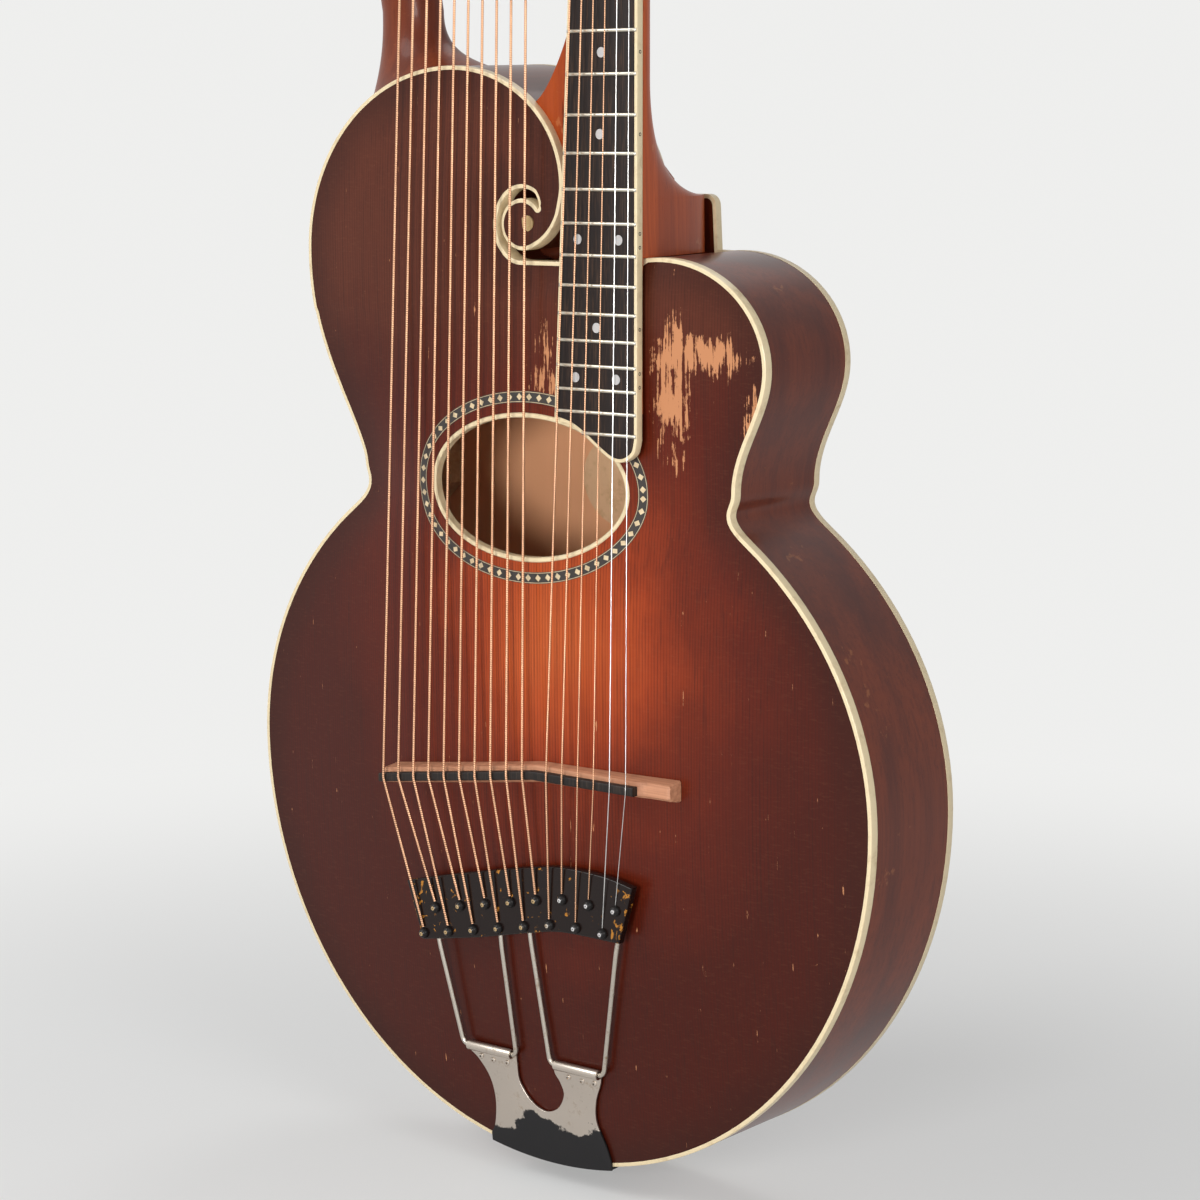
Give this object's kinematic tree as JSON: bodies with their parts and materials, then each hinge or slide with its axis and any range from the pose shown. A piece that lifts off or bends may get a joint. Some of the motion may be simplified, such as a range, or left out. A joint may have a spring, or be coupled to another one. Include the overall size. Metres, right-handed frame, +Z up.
{
  "type": "harp guitar",
  "caption": "Carved arch-top harp guitar: horned body with scroll, oval sound hole, fretted neck, hollow arm with sub-bass strings, wire-hung pin tailpiece and geared tuners.",
  "frame": {"origin": "the back of the neck, on its axis, 20 mm below the nut line, where a stand's cradle holds it", "axes": "+Z up the neck towards the heads, -Y out of the carved top (the front), +X to the treble side"},
  "size_m": [0.487, 0.1316, 1.096],
  "materials": {
    "sunburst_top": "carved spruce, worn gloss sunburst varnish",
    "mahogany_back": "carved mahogany, worn dark varnish",
    "mahogany_ribs": "bent mahogany, worn varnish with scratches",
    "spruce_inside": "bare spruce",
    "horn_wood": "mahogany, dark varnish",
    "binding": "aged ivoroid",
    "rosette": "black band inlaid with pale diamonds",
    "neck_wood": "mahogany, worn satin varnish",
    "fingerboard": "ebony",
    "fret_metal": "nickel silver",
    "pearl": "mother of pearl",
    "bone": "bone",
    "arm_wood": "mahogany, gloss varnish",
    "head_wood": "dark faced mahogany",
    "tuner_metal": "worn nickel plate",
    "bridge_wood": "rosewood, light brown",
    "saddle_wood": "ebony",
    "tailpiece_metal": "worn, patinated nickel plate",
    "pin_block": "dark tortoise-coloured plate",
    "pin_black": "black",
    "string_metal": "bronze-wound and plain steel strings",
    "button_ivory": "aged ivoroid"
  },
  "bodies": {
    "guitar": {"top_plate": "sunburst_top", "back_plate": "mahogany_back", "ribs": "mahogany_ribs", "linings": "spruce_inside", "braces": "spruce_inside", "neck_block": "horn_wood", "tail_block": "spruce_inside", "top_binding": "binding", "back_binding": "binding", "soundhole_binding": "binding", "rosette": "rosette", "neck": "neck_wood", "fingerboard": "fingerboard", "fingerboard_binding": "binding", "frets": "fret_metal", "inlays": "pearl", "nuts": "bone", "harp_arm": "arm_wood", "headstock": "head_wood", "tuner_plates": "tuner_metal", "bridge_base": "bridge_wood", "bridge_saddle": "saddle_wood", "tailpiece_hanger": "tailpiece_metal", "tailpiece_rods": "tailpiece_metal", "tailpiece_block": "pin_block", "tailpiece_pins": "pin_black", "end_pin": "pin_black", "strings": "string_metal"},
    "neck_button_1": {"neck_button_1": "button_ivory"},
    "neck_post_1": {"neck_post_1": "tuner_metal"},
    "neck_button_2": {"neck_button_2": "button_ivory"},
    "neck_post_2": {"neck_post_2": "tuner_metal"},
    "neck_button_3": {"neck_button_3": "button_ivory"},
    "neck_post_3": {"neck_post_3": "tuner_metal"},
    "neck_button_4": {"neck_button_4": "button_ivory"},
    "neck_post_4": {"neck_post_4": "tuner_metal"},
    "neck_button_5": {"neck_button_5": "button_ivory"},
    "neck_post_5": {"neck_post_5": "tuner_metal"},
    "neck_button_6": {"neck_button_6": "button_ivory"},
    "neck_post_6": {"neck_post_6": "tuner_metal"},
    "bass_button_1": {"bass_button_1": "button_ivory"},
    "bass_post_1": {"bass_post_1": "tuner_metal"},
    "bass_button_2": {"bass_button_2": "button_ivory"},
    "bass_post_2": {"bass_post_2": "tuner_metal"},
    "bass_button_3": {"bass_button_3": "button_ivory"},
    "bass_post_3": {"bass_post_3": "tuner_metal"},
    "bass_button_4": {"bass_button_4": "button_ivory"},
    "bass_post_4": {"bass_post_4": "tuner_metal"},
    "bass_button_5": {"bass_button_5": "button_ivory"},
    "bass_post_5": {"bass_post_5": "tuner_metal"},
    "bass_button_6": {"bass_button_6": "button_ivory"},
    "bass_post_6": {"bass_post_6": "tuner_metal"},
    "bass_button_7": {"bass_button_7": "button_ivory"},
    "bass_post_7": {"bass_post_7": "tuner_metal"},
    "bass_button_8": {"bass_button_8": "button_ivory"},
    "bass_post_8": {"bass_post_8": "tuner_metal"},
    "bass_button_9": {"bass_button_9": "button_ivory"},
    "bass_post_9": {"bass_post_9": "tuner_metal"},
    "bass_button_10": {"bass_button_10": "button_ivory"},
    "bass_post_10": {"bass_post_10": "tuner_metal"}
  },
  "joints": [
    {"name": "neck_worm_turn_1", "type": "hinge", "parent": "guitar", "child": "neck_button_1", "pos_m": [-0.025, 0.02862, 0.13672], "axis": [-1, 0, 0], "continuous": true},
    {"name": "neck_post_turn_1", "type": "hinge", "parent": "guitar", "child": "neck_post_1", "pos_m": [-0.025, 0.00893, 0.13498], "axis": [0, -0.9744, 0.225], "continuous": true},
    {"name": "neck_worm_turn_2", "type": "hinge", "parent": "guitar", "child": "neck_button_2", "pos_m": [-0.025, 0.03582, 0.1679], "axis": [-1, 0, 0], "continuous": true},
    {"name": "neck_post_turn_2", "type": "hinge", "parent": "guitar", "child": "neck_post_2", "pos_m": [-0.025, 0.01612, 0.16616], "axis": [0, -0.9744, 0.225], "continuous": true},
    {"name": "neck_worm_turn_3", "type": "hinge", "parent": "guitar", "child": "neck_button_3", "pos_m": [-0.025, 0.04302, 0.19908], "axis": [-1, 0, 0], "continuous": true},
    {"name": "neck_post_turn_3", "type": "hinge", "parent": "guitar", "child": "neck_post_3", "pos_m": [-0.025, 0.02332, 0.19734], "axis": [0, -0.9744, 0.225], "continuous": true},
    {"name": "neck_worm_turn_4", "type": "hinge", "parent": "guitar", "child": "neck_button_4", "pos_m": [0.025, 0.04026, 0.18714], "axis": [1, 0, 0], "continuous": true},
    {"name": "neck_post_turn_4", "type": "hinge", "parent": "guitar", "child": "neck_post_4", "pos_m": [0.025, 0.02332, 0.19734], "axis": [0, -0.9744, 0.225], "continuous": true},
    {"name": "neck_worm_turn_5", "type": "hinge", "parent": "guitar", "child": "neck_button_5", "pos_m": [0.025, 0.03306, 0.15596], "axis": [1, 0, 0], "continuous": true},
    {"name": "neck_post_turn_5", "type": "hinge", "parent": "guitar", "child": "neck_post_5", "pos_m": [0.025, 0.01612, 0.16616], "axis": [0, -0.9744, 0.225], "continuous": true},
    {"name": "neck_worm_turn_6", "type": "hinge", "parent": "guitar", "child": "neck_button_6", "pos_m": [0.025, 0.02586, 0.12478], "axis": [1, 0, 0], "continuous": true},
    {"name": "neck_post_turn_6", "type": "hinge", "parent": "guitar", "child": "neck_post_6", "pos_m": [0.025, 0.00893, 0.13498], "axis": [0, -0.9744, 0.225], "continuous": true},
    {"name": "bass_worm_turn_1", "type": "hinge", "parent": "guitar", "child": "bass_button_1", "pos_m": [-0.1807, 0.0133, 0.07034], "axis": [0, 0.225, 0.9744], "continuous": true},
    {"name": "bass_post_turn_1", "type": "hinge", "parent": "guitar", "child": "bass_post_1", "pos_m": [-0.18683, -0.00502, 0.07457], "axis": [0, -0.9744, 0.225], "continuous": true},
    {"name": "bass_worm_turn_2", "type": "hinge", "parent": "guitar", "child": "bass_button_2", "pos_m": [-0.1663, 0.0133, 0.07034], "axis": [0, 0.225, 0.9744], "continuous": true},
    {"name": "bass_post_turn_2", "type": "hinge", "parent": "guitar", "child": "bass_post_2", "pos_m": [-0.17243, -0.00502, 0.07457], "axis": [0, -0.9744, 0.225], "continuous": true},
    {"name": "bass_worm_turn_3", "type": "hinge", "parent": "guitar", "child": "bass_button_3", "pos_m": [-0.1519, 0.0133, 0.07034], "axis": [0, 0.225, 0.9744], "continuous": true},
    {"name": "bass_post_turn_3", "type": "hinge", "parent": "guitar", "child": "bass_post_3", "pos_m": [-0.15803, -0.00502, 0.07457], "axis": [0, -0.9744, 0.225], "continuous": true},
    {"name": "bass_worm_turn_4", "type": "hinge", "parent": "guitar", "child": "bass_button_4", "pos_m": [-0.1375, 0.0133, 0.07034], "axis": [0, 0.225, 0.9744], "continuous": true},
    {"name": "bass_post_turn_4", "type": "hinge", "parent": "guitar", "child": "bass_post_4", "pos_m": [-0.14363, -0.00502, 0.07457], "axis": [0, -0.9744, 0.225], "continuous": true},
    {"name": "bass_worm_turn_5", "type": "hinge", "parent": "guitar", "child": "bass_button_5", "pos_m": [-0.1231, 0.0133, 0.07034], "axis": [0, 0.225, 0.9744], "continuous": true},
    {"name": "bass_post_turn_5", "type": "hinge", "parent": "guitar", "child": "bass_post_5", "pos_m": [-0.12923, -0.00502, 0.07457], "axis": [0, -0.9744, 0.225], "continuous": true},
    {"name": "bass_worm_turn_6", "type": "hinge", "parent": "guitar", "child": "bass_button_6", "pos_m": [-0.1087, 0.0133, 0.07034], "axis": [0, 0.225, 0.9744], "continuous": true},
    {"name": "bass_post_turn_6", "type": "hinge", "parent": "guitar", "child": "bass_post_6", "pos_m": [-0.11483, -0.00502, 0.07457], "axis": [0, -0.9744, 0.225], "continuous": true},
    {"name": "bass_worm_turn_7", "type": "hinge", "parent": "guitar", "child": "bass_button_7", "pos_m": [-0.0943, 0.0133, 0.07034], "axis": [0, 0.225, 0.9744], "continuous": true},
    {"name": "bass_post_turn_7", "type": "hinge", "parent": "guitar", "child": "bass_post_7", "pos_m": [-0.10043, -0.00502, 0.07457], "axis": [0, -0.9744, 0.225], "continuous": true},
    {"name": "bass_worm_turn_8", "type": "hinge", "parent": "guitar", "child": "bass_button_8", "pos_m": [-0.0799, 0.0133, 0.07034], "axis": [0, 0.225, 0.9744], "continuous": true},
    {"name": "bass_post_turn_8", "type": "hinge", "parent": "guitar", "child": "bass_post_8", "pos_m": [-0.08603, -0.00502, 0.07457], "axis": [0, -0.9744, 0.225], "continuous": true},
    {"name": "bass_worm_turn_9", "type": "hinge", "parent": "guitar", "child": "bass_button_9", "pos_m": [-0.0655, 0.0133, 0.07034], "axis": [0, 0.225, 0.9744], "continuous": true},
    {"name": "bass_post_turn_9", "type": "hinge", "parent": "guitar", "child": "bass_post_9", "pos_m": [-0.07163, -0.00502, 0.07457], "axis": [0, -0.9744, 0.225], "continuous": true},
    {"name": "bass_worm_turn_10", "type": "hinge", "parent": "guitar", "child": "bass_button_10", "pos_m": [-0.0511, 0.0133, 0.07034], "axis": [0, 0.225, 0.9744], "continuous": true},
    {"name": "bass_post_turn_10", "type": "hinge", "parent": "guitar", "child": "bass_post_10", "pos_m": [-0.05723, -0.00502, 0.07457], "axis": [0, -0.9744, 0.225], "continuous": true}
  ],
  "couplings": [
    {"joint": "neck_post_turn_1", "follows": "neck_worm_turn_1", "ratio": -0.083333},
    {"joint": "neck_post_turn_2", "follows": "neck_worm_turn_2", "ratio": -0.083333},
    {"joint": "neck_post_turn_3", "follows": "neck_worm_turn_3", "ratio": -0.083333},
    {"joint": "neck_post_turn_4", "follows": "neck_worm_turn_4", "ratio": -0.083333},
    {"joint": "neck_post_turn_5", "follows": "neck_worm_turn_5", "ratio": -0.083333},
    {"joint": "neck_post_turn_6", "follows": "neck_worm_turn_6", "ratio": -0.083333},
    {"joint": "bass_post_turn_1", "follows": "bass_worm_turn_1", "ratio": -0.083333},
    {"joint": "bass_post_turn_2", "follows": "bass_worm_turn_2", "ratio": -0.083333},
    {"joint": "bass_post_turn_3", "follows": "bass_worm_turn_3", "ratio": -0.083333},
    {"joint": "bass_post_turn_4", "follows": "bass_worm_turn_4", "ratio": -0.083333},
    {"joint": "bass_post_turn_5", "follows": "bass_worm_turn_5", "ratio": -0.083333},
    {"joint": "bass_post_turn_6", "follows": "bass_worm_turn_6", "ratio": -0.083333},
    {"joint": "bass_post_turn_7", "follows": "bass_worm_turn_7", "ratio": -0.083333},
    {"joint": "bass_post_turn_8", "follows": "bass_worm_turn_8", "ratio": -0.083333},
    {"joint": "bass_post_turn_9", "follows": "bass_worm_turn_9", "ratio": -0.083333},
    {"joint": "bass_post_turn_10", "follows": "bass_worm_turn_10", "ratio": -0.083333}
  ]
}
